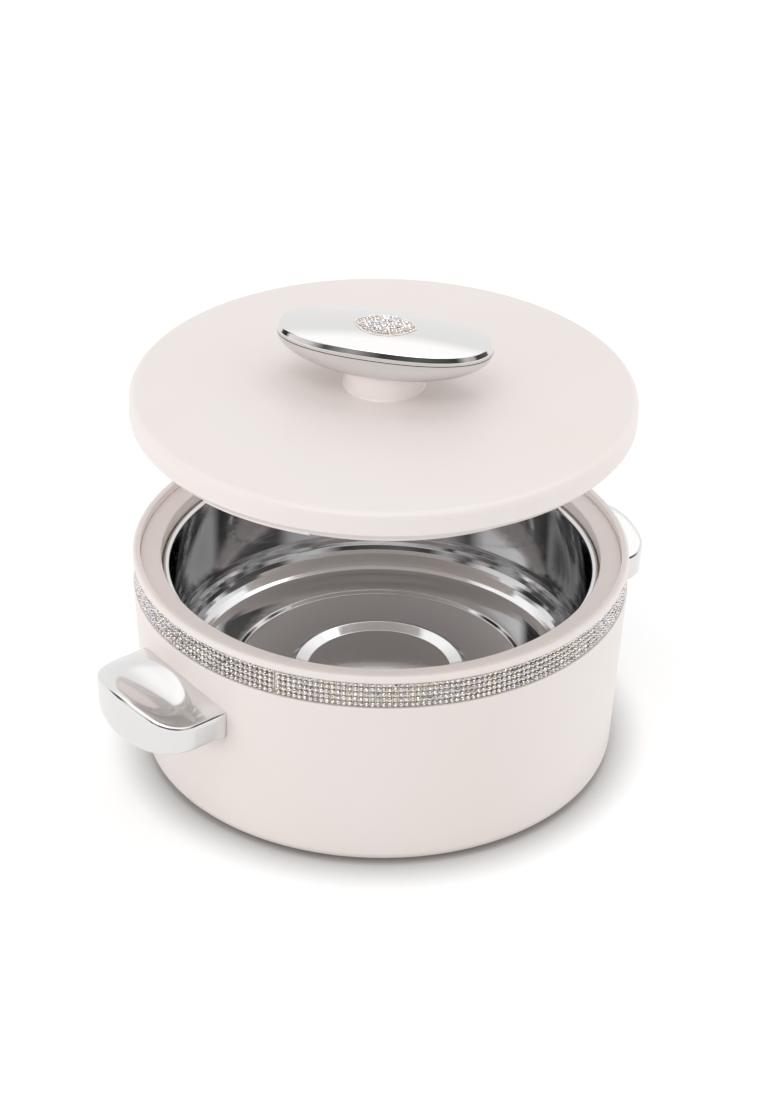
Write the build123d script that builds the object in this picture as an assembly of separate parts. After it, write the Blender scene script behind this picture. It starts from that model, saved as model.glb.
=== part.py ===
"""Insulated casserole: a double-walled pot with a steel bowl, and an insulated lid that lifts off.

Millimetres. +Z is up, the origin is under the middle of the pot on the surface that it stands on, and
+X runs through the right handle. The lid is modelled lifted clear of the pot, by lid_lift above its seat.
Corners of a turned profile are (radius, height), with a fillet's radius after them where there is one.
"""

import os
from math import cos, pi, radians, sin, sqrt

from build123d import *

os.makedirs("parts", exist_ok=True)

# Clearances
foam_gap = 0.15  # between the foam and what encloses it
seat_gap = 0.2  # between pieces that locate on each other
skin_gap = 0.03  # between pieces that bear on each other's curved faces
screw_gap = 0.05  # around a screw in the hole that it bites
hole_gap = 0.3  # around a screw in a hole that it only passes
tip_gap = 0.5  # past a screw's tip in a blind hole

# Outer shell of the pot
pot_height = 112.8
pot_radius = 125.4  # at the stone band
base_taper = 4.6  # the wall's line meets the underside at this much less than the pot's radius
base_round = 6.5
shell_wall = 2.2
lip_width = 3.8
lip_height = 3.5  # above the stone band
lip_round = 2.0
ledge_depth = 3.9  # of the collar's ledge below the lip
ledge_width = 10.6
edge_round = 0.4

# Stone band
band_height = 14.0
band_rows = 5
groove_depth = 3.0
strip_thickness = 0.8
strip_margin = 0.15  # above and below the strip in its groove
stone_height = 1.6
stone_spacing = 0.4  # between neighbouring rows
band_join_angle = -150.6
band_join_gap = 0.8
strip_end = 0.4  # each end of the stone rows stops this much short of the strip

# Floor, pour hole, base cover and feet
foot_height = 1.5
foot_radius = 5.5
foot_round = 0.6
foot_stem_radius = 2.0
foot_inset = 12.8  # of each foot's middle, from the base radius
foot_count = 4
cover_inset = 20.8  # of the cover's edge, from the base radius
cover_thickness = 1.8
pour_hole_radius = 9.0
plug_lip = 1.0
base_screw_inset = 14.0  # from the cover's edge
base_screw_count = 4
base_screw_sink = 1.2
base_boss_height = 9.0

# Rim collar and steel bowl
collar_thickness = 2.0
neck_wall = 2.2
neck_round = 0.9
shoulder_width = 3.6  # of the shell's shoulder under the collar
steel = 0.8
bead_radius = 1.7  # of the rolled rim, outside
bead_drop = 5.9  # top of the rolled rim below the collar's ledge
bead_gap = 0.7  # between the rolled rim and the collar's neck
flange_rise = 0.6  # of the bowl's flange above the bottom of the rolled rim
flange_width = 5.5
bowl_draft = 0.8  # the bowl's wall leans in by this much towards its floor
bowl_depth = 66.8  # from the top of the rolled rim to the floor
bowl_corner = 18.0
press_round = 0.8  # of the small bends in the floor
floor_step_inset = 31.7  # of the step in the floor, from the outside of the bowl's wall
floor_step_rise = 1.6
centre_radius = 37.5  # of the flat middle of the floor, inside the pressed ring
ring_inner_slope = 6.3
ring_outer_slope = 3.2
ring_rise = 1.9

# Screws and washers
screw_radius = 1.5
screw_head_radius = 3.0
screw_head_height = 2.0
washer_radius = 5.0
washer_thickness = 1.0
boss_wall = 2.6
boss_end_wall = 2.0
rib_thickness = 2.2  # of the web that carries each boss in a handle

# Handles
handle_width = 71.0
handle_reach = 34.7  # from the wall to the middle of the rim
handle_bottom = 55.8  # at the middle, where the underside is lowest
handle_height = 24.7  # at the middle of the outer rim
handle_crown = 87.0  # radius of the crown across the handle
handle_belly = 165.0  # radius of the underside across the handle
handle_corner = 18.2
handle_bow = 9.2  # of the outer rim in plan
handle_flare = 1.5  # outward lean of the sides, degrees
handle_rise = 3.0  # slope of the top towards the pot, degrees
handle_wall = 2.4
handle_round = 2.0  # of the bottom edge
handle_screw_height = 11.9  # above the handle's bottom
handle_screw_spread = 36.0
handle_boss_length = 16.0
pad_height = 1.0  # of the shell's flat pads under the washers
pad_margin = 1.0
dish_radius = 27.0
dish_depth = 3.6
dish_offset = 1.5  # of the dish's middle, outward from the handle's

# Lid
lid_lift = 74.0
lid_seat_gap = 0.3
lid_inset = 0.4  # of the lid's side, from the pot's radius
lid_height = 14.0  # of its side
lid_dome = 2.5
lid_round = 3.6
skirt_taper = 2.3  # the skirt's lower edge is this much smaller in radius
skirt_taper_height = 2.8
skirt_lip = 2.1
lid_wall = 2.2
liner_wall = 2.0
plug_gap = 0.6  # between the plug and the collar's neck
plug_depth = 9.4
plug_round = 2.4
locator_height = 3.0
locator_width = 2.4
locator_gap = 1.2  # inside the pot's lip
locator_count = 3
locator_arc = 28.0
locator_angle = -157.0
lid_pour_radius = 7.0

# Knob, with heights above the skirt's lower edge
knob_angle = -52.0
knob_length = 108.0
knob_width = 49.0
knob_power = 2.3  # of the superellipse that its plan follows
knob_rim = 40.2
knob_depth = 11.7  # of the base below the rim
knob_edge = 4.3  # of the cover's upright edge
knob_crown = 3.8  # of the cover above that edge
knob_wall = 2.2
knob_cover_wall = 3.0
knob_skirt = 2.0
knob_foot_stretch = 1.35  # of the base's flat foot along the knob, over the pedestal's width
pedestal_radius = 19.5
knob_screw_spread = 22.0
knob_boss_height = 9.0
leaf_length = 32.0
leaf_width = 22.0
leaf_bezel = 0.7
leaf_point = 1.1  # length of each solid point of the tray
leaf_seat_depth = 1.7  # of the tray's flat seat below the knob's peak
leaf_well = 0.8
leaf_proud = 0.4
leaf_stone_rise = 0.8

# Levels and radii that several pieces share
base_radius = pot_radius - base_taper
foot_ring_radius = base_radius - foot_inset
cover_radius = base_radius - cover_inset
base_screw_ring = cover_radius - base_screw_inset
floor_bottom = foot_height
floor_top = floor_bottom + shell_wall
cover_recess = cover_thickness + seat_gap
raised_floor = floor_bottom + cover_recess
raised_floor_top = raised_floor + shell_wall
base_boss_top = raised_floor_top + base_boss_height
band_top = pot_height - lip_height
band_bottom = band_top - band_height
wall_slope = (pot_radius - base_radius) / (band_bottom - floor_bottom)
groove_radius = pot_radius - groove_depth
groove_inner = groove_radius - shell_wall
strip_outer = groove_radius + skin_gap + strip_thickness
lip_inner = pot_radius - lip_width
ledge = pot_height - ledge_depth
collar_bottom = ledge - collar_thickness
shoulder_radius = lip_inner - shoulder_width
neck_radius = lip_inner - ledge_width
bead_top = ledge - bead_drop
bead_outer = neck_radius - bead_gap
bead_middle = bead_outer - bead_radius
flange_top = bead_top - 2 * bead_radius + steel + flange_rise
bowl_radius = bead_middle - bead_radius + steel  # outside of the bowl's wall at its rim
floor_step_radius = bowl_radius - floor_step_inset
bowl_floor = bead_top - bowl_depth
boss_radius = screw_radius + boss_wall


def wall_radius(height):
    """Outside radius of the shell's leaning wall."""
    return base_radius + wall_slope * (height - floor_bottom)


def ring(corners, arc=360.0):
    """A solid turned about Z from a closed profile."""
    rounds = [corner[2] if len(corner) > 2 else 0 for corner in corners]
    outline = FilletPolyline(*[corner[:2] for corner in corners], radius=rounds, close=True)
    return revolve(Plane.XZ * make_face(outline.edges()), Axis.Z, arc)


def rod(radius, low, high, centre=(0, 0)):
    """A round rod along Z."""
    return extrude(Pos(*centre, low) * Circle(radius), high - low, (0, 0, 1))


def side_rod(radius, start, end, side, y, z):
    """A round rod along X, on the right where side is 1 and turned round to the left where it is -1."""
    shape = extrude(Plane((start, y, z), (0, 1, 0), (1, 0, 0)) * Circle(radius), end - start, (1, 0, 0))
    return shape if side > 0 else shape.rotate(Axis.Z, 180)


def on_circle(radius, count):
    """Centres evenly spread round the pot's axis, clear of the handles."""
    angles = [radians(360.0 / count * (i + 0.5)) for i in range(count)]
    return [(radius * cos(angle), radius * sin(angle)) for angle in angles]


def screw(seat, tip, centre):
    """A pan-head screw that points up, with its head bearing at the seat."""
    head = rod(screw_head_radius, seat - screw_head_height, seat, centre)
    head = fillet(head.edges().sort_by(Axis.Z)[:1], screw_head_height * 0.4)
    shank = rod(screw_radius, seat, tip, centre)
    return head + chamfer(shank.edges().sort_by(Axis.Z)[-1:], screw_radius * 0.4)


def write(name, *pieces):
    """One STEP file per sub-part, in parts/."""
    solids = [piece.solid() for piece in pieces]
    whole = solids[0] if len(solids) == 1 else Compound(children=solids)
    whole.label = name
    export_step(whole, f"parts/{name}.step")


# Outer shell

handle_screw_level = handle_bottom + handle_screw_height
handle_screws = [(side, y * handle_screw_spread / 2, handle_screw_level) for side in (-1, 1) for y in (-1, 1)]
pad_radius = washer_radius + pad_margin
pad_chord = handle_screw_spread / 2 + pad_radius
pad_ends = (wall_radius(handle_screw_level - pad_radius), wall_radius(handle_screw_level + pad_radius))
pad_face = sqrt((min(pad_ends) - shell_wall) ** 2 - pad_chord**2) - pad_height


def make_outer_shell():
    shell = ring([
        (pour_hole_radius, raised_floor),
        (cover_radius + seat_gap, raised_floor),
        (cover_radius + seat_gap, floor_bottom, edge_round),
        (wall_radius(floor_bottom), floor_bottom, base_round),
        (pot_radius, band_bottom, edge_round),
        (groove_radius, band_bottom),
        (groove_radius, band_top),
        (pot_radius, band_top, edge_round),
        (pot_radius, pot_height, lip_round),
        (lip_inner, pot_height, edge_round),
        (lip_inner, collar_bottom),
        (shoulder_radius, collar_bottom),
        (shoulder_radius, collar_bottom - collar_thickness),
        (groove_inner, collar_bottom - collar_thickness - shell_wall),
        (groove_inner, band_bottom - shell_wall),
        (wall_radius(band_bottom) - shell_wall, band_bottom - 2 * shell_wall),
        (wall_radius(floor_top) - shell_wall, floor_top, base_round - shell_wall),
        (cover_radius + shell_wall, floor_top),
        (cover_radius, raised_floor_top),
        (pour_hole_radius, raised_floor_top),
    ])
    for side, y, z in handle_screws:
        wall_middle = sqrt((wall_radius(z) - shell_wall / 2) ** 2 - y**2)
        shell += side_rod(pad_radius, pad_face, wall_middle, side, y, z)
        shell -= side_rod(screw_radius + hole_gap, 0, wall_radius(z) + shell_wall, side, y, z)
    for centre in on_circle(base_screw_ring, base_screw_count):
        shell += rod(boss_radius, raised_floor + shell_wall / 2, base_boss_top, centre)
        shell -= rod(screw_radius + screw_gap, 0, base_boss_top - boss_end_wall, centre)
    for centre in on_circle(foot_ring_radius, foot_count):
        shell -= rod(foot_stem_radius + screw_gap, 0, floor_top + shell_wall, centre)
    return shell


# Rim collar, steel bowl and foam

def make_rim_collar():
    collar_radius = lip_inner - seat_gap / 2
    return ring([
        (neck_radius, flange_top, edge_round),
        (neck_radius + neck_wall, flange_top),
        (neck_radius + neck_wall, collar_bottom),
        (collar_radius, collar_bottom),
        (collar_radius, ledge),
        (neck_radius, ledge, neck_round),
    ])


def make_inner_bowl():
    """The bowl follows the middle line of its sheet, from the axis out to the flange under the collar."""
    half = steel / 2
    floor = bowl_floor - half
    step = floor + floor_step_rise
    top = bead_top - half
    bend = bead_radius - half
    crest = centre_radius + ring_inner_slope
    line = [
        (-ring_outer_slope, floor),
        (centre_radius, floor, press_round),
        (crest, floor + ring_rise, press_round),
        (crest + ring_outer_slope, floor, press_round),
        (floor_step_radius - floor_step_rise, floor, press_round),
        (floor_step_radius, step, press_round),
        (bowl_radius - half - bowl_draft, step, bowl_corner + half),
        (bowl_radius - half, top, bend),
        (bead_outer - half, top, bend),
        (bead_outer - half, flange_top - half, edge_round),
        (neck_radius + flange_width, flange_top - half),
    ]
    path = FilletPolyline(*[point[:2] for point in line], radius=[point[2] for point in line[1:-1]])
    outside = Pos(pot_radius, 0) * Rectangle(2 * pot_radius, 4 * pot_height)
    return revolve(Plane.XZ * (SlotArc(path, steel) & outside), Axis.Z)


def make_body_foam():
    """Foam between the shell and the bowl, with pockets for what stands out of the shell inside."""
    bowl_under = bowl_floor - steel - foam_gap
    step_under = bowl_under + floor_step_rise
    top = flange_top - steel - foam_gap
    wall_gap = shell_wall + foam_gap
    low = floor_top + foam_gap
    plug_clear = pour_hole_radius + plug_lip + foam_gap
    plug_roof = raised_floor_top + plug_lip + foam_gap
    foam = ring([
        (plug_clear, raised_floor_top + foam_gap),
        (cover_radius + foam_gap, raised_floor_top + foam_gap),
        (cover_radius + shell_wall + foam_gap, low),
        (wall_radius(floor_top) - wall_gap, low, base_round - shell_wall),
        (wall_radius(band_bottom) - wall_gap, band_bottom - 2 * shell_wall - foam_gap),
        (groove_inner - foam_gap, band_bottom - shell_wall - foam_gap),
        (groove_inner - foam_gap, top),
        (bead_outer + foam_gap, top),
        (bowl_radius + foam_gap, top - 2 * bead_radius),
        (bowl_radius - bowl_draft + foam_gap, step_under, bowl_corner + steel),
        (floor_step_radius + floor_step_rise, step_under),
        (floor_step_radius - floor_step_rise, bowl_under),
        (0, bowl_under),
        (0, plug_roof),
        (plug_clear, plug_roof),
    ])
    for centre in on_circle(base_screw_ring, base_screw_count):
        foam -= rod(boss_radius + foam_gap, 0, base_boss_top + foam_gap, centre)
    pocket_floor = pad_face - washer_thickness - screw_head_height - foam_gap
    for side, y, z in handle_screws:
        foam -= side_rod(pad_radius + foam_gap, pocket_floor, pot_radius, side, y, z)
    return foam


def make_foam_plug(radius, low, high):
    """A push-in plug for a pour hole, with a lip that snaps over the hole's inner edge."""
    return rod(radius - screw_gap, low, high) + rod(radius + plug_lip, high, high + plug_lip)


# Base

def make_base_cover():
    cover = rod(cover_radius, floor_bottom, floor_bottom + cover_thickness)
    cover = chamfer(cover.edges().sort_by(Axis.Z)[:1], edge_round)
    for centre in on_circle(base_screw_ring, base_screw_count):
        cover -= rod(screw_radius + hole_gap, 0, raised_floor, centre)
        cover -= rod(screw_head_radius + hole_gap, 0, floor_bottom + base_screw_sink, centre)
    return cover


def make_base_screws():
    seat = floor_bottom + base_screw_sink
    tip = base_boss_top - boss_end_wall - tip_gap
    return [screw(seat, tip, centre) for centre in on_circle(base_screw_ring, base_screw_count)]


def make_rubber_feet():
    feet = []
    for centre in on_circle(foot_ring_radius, foot_count):
        pad = rod(foot_radius, 0, floor_bottom, centre)
        pad = fillet(pad.edges().sort_by(Axis.Z)[:1], foot_round)
        feet.append(pad + rod(foot_stem_radius, floor_bottom, floor_top, centre))
    return feet


# Stone band

def open_band(corners, end_gap):
    """A band in the groove, open by this much where its ends meet."""
    gap = 360.0 * end_gap / (2 * pi * pot_radius)
    return ring(corners, 360.0 - gap).rotate(Axis.Z, band_join_angle + gap / 2)


def make_stone_strip():
    low, high = band_bottom + strip_margin, band_top - strip_margin
    inner = groove_radius + skin_gap
    return open_band([(inner, low), (strip_outer, low), (strip_outer, high), (inner, high)], band_join_gap)


def make_band_stones():
    """One facetted rib for each row of stones."""
    pitch = band_height / band_rows
    shoulder = strip_outer + stone_height * 0.35
    crown = strip_outer + stone_height
    rows = []
    for row in range(band_rows):
        low = band_bottom + pitch * row + stone_spacing / 2
        high = low + pitch - stone_spacing
        facet = (high - low) * 0.3
        profile = [(strip_outer, low), (shoulder, low), (crown, low + facet)]
        profile += [(crown, high - facet), (shoulder, high), (strip_outer, high)]
        rows.append(open_band(profile, band_join_gap + 2 * strip_end))
    return rows


# Handles, drawn on the right

handle_tip = wall_radius(handle_bottom) + handle_reach
handle_top = handle_bottom + handle_height


def handle_plan(inset=0.0):
    """The handle's plan, from inside the pot's wall out to the bowed rim."""
    half = handle_width / 2 - inset
    tip = handle_tip - inset
    shoulder = tip - handle_bow
    inside = groove_inner * 0.8
    front = ThreePointArc((shoulder, -half), (tip, 0), (shoulder, half))
    back = Polyline((shoulder, half), (inside, half), (inside, -half), (shoulder, -half))
    plan = make_face([front, back])
    return fillet(plan.vertices().sort_by(Axis.X)[-2:], handle_corner - inset)


def handle_form(top_depth=0.0, inset=0.0):
    """What lies between the handle's crown and its underside, or between surfaces set in from them."""
    rise = radians(handle_rise)
    length = 2 * handle_tip
    crown_end = Plane((length, 0, handle_top - handle_crown - handle_tip * sin(rise)), (0, 1, 0),
                      (-cos(rise), 0, sin(rise)))
    belly_end = Plane((0, 0, handle_bottom + handle_belly), (0, 1, 0), (1, 0, 0))
    under_crown = extrude(crown_end * Circle(handle_crown - top_depth), length)
    return under_crown, extrude(belly_end * Circle(handle_belly - inset), length)


def make_handle():
    """A hollow grip, crowned across and dished along its top, whose open back closes on the pot's wall."""
    under_crown, over_belly = handle_form()
    block = extrude(Plane.XY.offset(handle_bottom) * handle_plan(), 2 * handle_height, (0, 0, 1), taper=-handle_flare)
    block &= over_belly
    block = fillet(block.faces().sort_by(Axis.Z)[0].edges(), handle_round)
    block &= under_crown
    dish_middle = handle_tip - handle_reach / 2 + dish_offset
    dish_floor = handle_top + (handle_tip - dish_middle) * sin(radians(handle_rise)) - dish_depth
    dish_plane = Plane((dish_middle, -handle_width, dish_floor + dish_radius), (1, 0, 0), (0, 1, 0))
    block -= extrude(dish_plane * Circle(dish_radius), 2 * handle_width)

    under_crown, over_belly = handle_form(dish_depth + handle_wall, handle_wall)
    hollow = extrude(Plane.XY.offset(handle_bottom) * handle_plan(handle_wall), 2 * handle_height, (0, 0, 1))
    hollow = hollow & over_belly & under_crown
    boss_end = wall_radius(handle_screw_level) + handle_boss_length
    for side, y, z in handle_screws[2:]:
        web = Pos(boss_end / 2, y, handle_bottom) * Rectangle(boss_end, rib_thickness)
        hollow -= extrude(web, 2 * handle_height, (0, 0, 1))
        hollow -= side_rod(boss_radius, groove_inner * 0.8, boss_end, side, y, z)
    handle = block - hollow
    for side, y, z in handle_screws[2:]:
        handle -= side_rod(screw_radius + screw_gap, 0, boss_end - boss_end_wall, side, y, z)
    handle -= ring([
        (0, 0),
        (wall_radius(0) + skin_gap, 0),
        (wall_radius(pot_height) + skin_gap, pot_height),
        (0, pot_height),
    ])
    return handle


def make_handle_washers():
    start = pad_face - washer_thickness
    washers = []
    for side, y, z in handle_screws:
        washer = side_rod(washer_radius, start, pad_face, side, y, z)
        washers.append(washer - side_rod(screw_radius + hole_gap, start, pad_face, side, y, z))
    return washers


def make_handle_screws():
    seat = pad_face - washer_thickness
    tip = wall_radius(handle_screw_level) + handle_boss_length - boss_end_wall - tip_gap
    screws = []
    for side, y, z in handle_screws:
        head = side_rod(screw_head_radius, seat - screw_head_height, seat, side, y, z)
        screws.append(head + side_rod(screw_radius, seat, tip, side, y, z))
    return screws


# Lid, drawn with heights above the skirt's lower edge

lid_radius = pot_radius - lid_inset
plug_radius = neck_radius - plug_gap
liner_radius = lid_radius - skirt_taper - skirt_lip - seat_gap / 2
lid_top = lid_height + lid_dome
dome_radius = (lid_radius**2 + lid_dome**2) / (2 * lid_dome)


def dome_height(radius, depth=0.0):
    """Height of the lid's dome, or of a surface that lies this deep under it."""
    return lid_top - dome_radius + sqrt((dome_radius - depth) ** 2 - radius**2)


def dome_arc(radius, depth=0.0):
    """Profile of the dome, or of a surface under it, from the middle out to a radius."""
    start, middle, end = [(r, dome_height(r, depth)) for r in (0, radius / 2, radius)]
    return ThreePointArc(start, middle, end)


knob_reach = knob_screw_spread / 2
knob_screw_seat = dome_height(knob_reach + washer_radius, lid_wall) - washer_thickness
knob_screw_centres = [
    (sign * knob_reach * cos(radians(knob_angle)), sign * knob_reach * sin(radians(knob_angle))) for sign in (-1, 1)
]


def make_lid_cover():
    inner_side = lid_radius - lid_wall
    skirt = lid_radius - skirt_taper
    top, under = dome_arc(lid_radius), dome_arc(inner_side, lid_wall)
    side = Polyline(
        top @ 1,
        (lid_radius, skirt_taper_height),
        (skirt, 0),
        (skirt - skirt_lip, 0),
        (skirt - skirt_lip, liner_wall),
        (inner_side, liner_wall + lid_wall),
        under @ 1,
    )
    profile = make_face([top, side, under, Line(under @ 0, top @ 0)])
    outer_corners = profile.vertices().filter_by(lambda v: v.X > lid_radius - skirt_taper / 2).sort_by(Axis.Y)
    profile = fillet(outer_corners[-1], lid_round)
    outer_corners = profile.vertices().filter_by(lambda v: v.X > lid_radius - skirt_taper / 2).sort_by(Axis.Y)
    profile = fillet(outer_corners[0], skirt_taper)
    cover = revolve(Plane.XZ * profile, Axis.Z)
    for centre in knob_screw_centres:
        cover -= rod(screw_radius + hole_gap, 0, knob_rim, centre)
    return cover


def make_lid_liner():
    """The underside, with the plug that fills the pot's neck and the segments that drop inside its lip."""
    floor = -plug_depth
    plug_inner = plug_radius - liner_wall
    liner = ring([
        (lid_pour_radius, floor),
        (plug_radius, floor, plug_round),
        (plug_radius, 0, edge_round),
        (liner_radius, 0),
        (liner_radius, liner_wall),
        (plug_inner, liner_wall),
        (plug_inner, floor + liner_wall, edge_round),
        (lid_pour_radius, floor + liner_wall),
    ])
    outer = lip_inner - locator_gap
    inner = outer - locator_width
    root = liner_wall / 2
    for i in range(locator_count):
        segment = ring([(inner, root), (inner, -locator_height), (outer, -locator_height), (outer, root)], locator_arc)
        liner += segment.rotate(Axis.Z, locator_angle - locator_arc / 2 + 360.0 / locator_count * i)
    return liner


def make_lid_foam():
    side = lid_radius - lid_wall - foam_gap
    floor = -plug_depth + liner_wall + foam_gap
    shelf = liner_wall + foam_gap
    plug_inner = plug_radius - liner_wall - foam_gap
    plug_clear = lid_pour_radius + plug_lip + foam_gap
    top = dome_arc(side, lid_wall + foam_gap)
    rest = Polyline(
        top @ 1,
        (side, shelf + lid_wall),
        (liner_radius - skirt_lip, shelf),
        (plug_inner, shelf),
        (plug_inner, floor),
        (plug_clear, floor),
        (plug_clear, floor + plug_lip),
        (0, floor + plug_lip),
        top @ 0,
    )
    foam = revolve(Plane.XZ * make_face([top, rest]), Axis.Z)
    for centre in knob_screw_centres:
        foam -= rod(washer_radius + foam_gap, knob_screw_seat - screw_head_height - foam_gap, lid_top, centre)
    return foam


# Knob, drawn with its length along X

knob_foot = knob_rim - knob_depth
knob_peak = knob_rim + knob_edge + knob_crown


def oval(length, width, height):
    """A superellipse in plan, at a height."""
    steps = 40
    points = []
    for i in range(steps):
        across, along = sin(2 * pi * i / steps), cos(2 * pi * i / steps)
        x = length / 2 * abs(along) ** (2 / knob_power)
        y = width / 2 * abs(across) ** (2 / knob_power)
        points.append((x if along > 0 else -x, y if across > 0 else -y))
    return Pos(0, 0, height) * make_face(Spline(*points, periodic=True))


def knob_hull(inset=0.0):
    """The base's rounded form: full at its rim and narrowing to a flat foot."""
    low = knob_foot + inset
    foot_width = 2 * (pedestal_radius - inset)
    foot_length = foot_width * knob_foot_stretch
    sections = []
    for share in (0.0, 0.1, 0.3, 0.6, 1.0):
        swell = sqrt(1 - (1 - share) ** 2)
        length = foot_length + (knob_length - 2 * inset - foot_length) * swell
        width = foot_width + (knob_width - 2 * inset - foot_width) * swell
        sections.append(oval(length, width, low + (knob_rim - low) * share))
    return loft(sections)


def make_knob_pedestal():
    pedestal = rod(pedestal_radius, lid_top, knob_foot)
    for sign in (-1, 1):
        pedestal -= rod(screw_radius + hole_gap, 0, knob_foot, (sign * knob_reach, 0))
    return pedestal


def make_knob_base():
    base = knob_hull() - knob_hull(knob_wall)
    boss_top = knob_foot + knob_boss_height
    for sign in (-1, 1):
        centre = (sign * knob_reach, 0)
        base += rod(boss_radius, knob_foot + knob_wall / 2, boss_top, centre)
        base -= rod(screw_radius + screw_gap, 0, boss_top - boss_end_wall, centre)
    return base


def crowned(shape, depth=0.0):
    """Keeps what lies under the knob's crown, or under a surface this deep below it."""
    along = ((knob_length / 2) ** 2 + knob_crown**2) / (2 * knob_crown)
    across = ((knob_width / 2) ** 2 + knob_crown**2) / (2 * knob_crown)
    disc = Pos(0, knob_peak - across) * Circle(across - depth)
    disc &= Pos(0, knob_peak) * Rectangle(2 * across, 1.8 * across)
    axis = Axis((0, 0, knob_peak - along), (0, 1, 0))
    sweep = 60.0
    barrel = revolve(Plane((0, 0, 0), (0, 1, 0), (1, 0, 0)) * disc, axis, sweep)
    return shape & barrel.rotate(axis, -sweep / 2)


def make_knob_top():
    """The crowned cover, hollow underneath, with a skirt that drops into the base and a leaf-shaped seat."""
    inner_length, inner_width = knob_length - 2 * knob_wall, knob_width - 2 * knob_wall
    tall = knob_edge + knob_crown
    cover = crowned(extrude(oval(knob_length, knob_width, knob_rim), tall, (0, 0, 1)))
    cover -= crowned(extrude(oval(inner_length, inner_width, knob_rim), tall, (0, 0, 1)), knob_cover_wall)
    outer = oval(inner_length - knob_skirt, inner_width - knob_skirt, knob_rim - knob_skirt)
    inner = oval(inner_length - 3 * knob_skirt, inner_width - 3 * knob_skirt, knob_rim - knob_skirt)
    cover += crowned(extrude(outer - inner, tall, (0, 0, 1)), knob_cover_wall / 2)
    return cover - leaf(leaf_length + seat_gap, leaf_width + seat_gap)


def leaf(length, width):
    """A pointed leaf that stands on the tray's seat, taller than the tray and its stones."""
    ends = (-length / 2, 0), (length / 2, 0)
    sides = [ThreePointArc(ends[0], (0, side * width / 2), ends[1]) for side in (-1, 1)]
    plan = Pos(0, 0, knob_peak - leaf_seat_depth) * make_face(sides)
    return extrude(plan, leaf_seat_depth + leaf_proud + leaf_stone_rise, (0, 0, 1))


def make_knob_inlay():
    """The tray that holds the knob's stones, crowned as the cover is."""
    well = leaf(leaf_length - 2 * leaf_point, leaf_width - 2 * leaf_bezel)
    well -= crowned(well, leaf_well - leaf_proud)
    return crowned(leaf(leaf_length, leaf_width), -leaf_proud) - well


def make_knob_stones():
    bed = leaf(leaf_length - 2 * leaf_point - seat_gap, leaf_width - 2 * leaf_bezel - seat_gap)
    return crowned(bed, -leaf_proud - leaf_stone_rise) - crowned(bed, leaf_well - leaf_proud)


def make_knob_washers():
    washers = []
    for centre in knob_screw_centres:
        washer = rod(washer_radius, knob_screw_seat, knob_screw_seat + washer_thickness, centre)
        washers.append(washer - rod(screw_radius + hole_gap, 0, knob_rim, centre))
    return washers


def make_knob_screws():
    tip = knob_foot + knob_boss_height - boss_end_wall - tip_gap
    return [screw(knob_screw_seat, tip, centre) for centre in knob_screw_centres]


def raised(shape):
    """Lifts a piece of the lid off its seat."""
    return Pos(0, 0, pot_height + lid_seat_gap + lid_lift) * shape


def on_lid(shape):
    """Turns a piece of the knob to its angle on the lid, and lifts it."""
    return raised(shape.rotate(Axis.Z, knob_angle))


write("outer_shell", make_outer_shell())
write("rim_collar", make_rim_collar())
write("inner_bowl", make_inner_bowl())
write("body_foam", make_body_foam())
write("foam_plug", make_foam_plug(pour_hole_radius, raised_floor, raised_floor_top))
write("base_cover", make_base_cover())
write("base_screws", *make_base_screws())
write("rubber_feet", *make_rubber_feet())
write("stone_strip", make_stone_strip())
write("band_stones", *make_band_stones())
write("handle_right", make_handle())
write("handle_left", make_handle().rotate(Axis.Z, 180))
write("handle_washers", *make_handle_washers())
write("handle_screws", *make_handle_screws())
write("lid_cover", raised(make_lid_cover()))
write("lid_liner", raised(make_lid_liner()))
write("lid_foam", raised(make_lid_foam()))
write("lid_foam_plug", raised(make_foam_plug(lid_pour_radius, -plug_depth, -plug_depth + liner_wall)))
write("knob_pedestal", on_lid(make_knob_pedestal()))
write("knob_base", on_lid(make_knob_base()))
write("knob_top", on_lid(make_knob_top()))
write("knob_inlay", on_lid(make_knob_inlay()))
write("knob_stones", on_lid(make_knob_stones()))
write("knob_washers", *[raised(washer) for washer in make_knob_washers()])
write("knob_screws", *[raised(piece) for piece in make_knob_screws()])
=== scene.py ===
"""Looks of the insulated casserole: ivory mouldings, a steel bowl, chrome grips and small set stones.

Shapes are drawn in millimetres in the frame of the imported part, and scaled to metres as each mesh is made.
Corners of an outline are (along, up), with a fillet's radius after them where there is one.
"""

import random
from math import cos, degrees, pi, radians, sin, sqrt, tan

import bpy
from mathutils import Matrix, Vector


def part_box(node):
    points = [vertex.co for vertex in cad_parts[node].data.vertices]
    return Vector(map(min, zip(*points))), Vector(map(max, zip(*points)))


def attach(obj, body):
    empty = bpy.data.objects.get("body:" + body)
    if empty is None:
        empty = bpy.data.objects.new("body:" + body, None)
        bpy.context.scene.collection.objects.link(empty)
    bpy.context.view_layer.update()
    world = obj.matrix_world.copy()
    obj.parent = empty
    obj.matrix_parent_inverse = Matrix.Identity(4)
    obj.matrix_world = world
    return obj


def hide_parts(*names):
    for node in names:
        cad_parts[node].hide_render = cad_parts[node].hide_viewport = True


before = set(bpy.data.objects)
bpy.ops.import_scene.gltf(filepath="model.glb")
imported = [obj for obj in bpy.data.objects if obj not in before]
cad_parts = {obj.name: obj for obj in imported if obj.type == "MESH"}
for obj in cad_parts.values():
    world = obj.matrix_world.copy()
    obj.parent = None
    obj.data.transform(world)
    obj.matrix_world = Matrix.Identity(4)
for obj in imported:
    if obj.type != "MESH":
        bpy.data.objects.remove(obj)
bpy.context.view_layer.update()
scene = bpy.context.scene
chance = random.Random(7)

MM = 0.001


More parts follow.
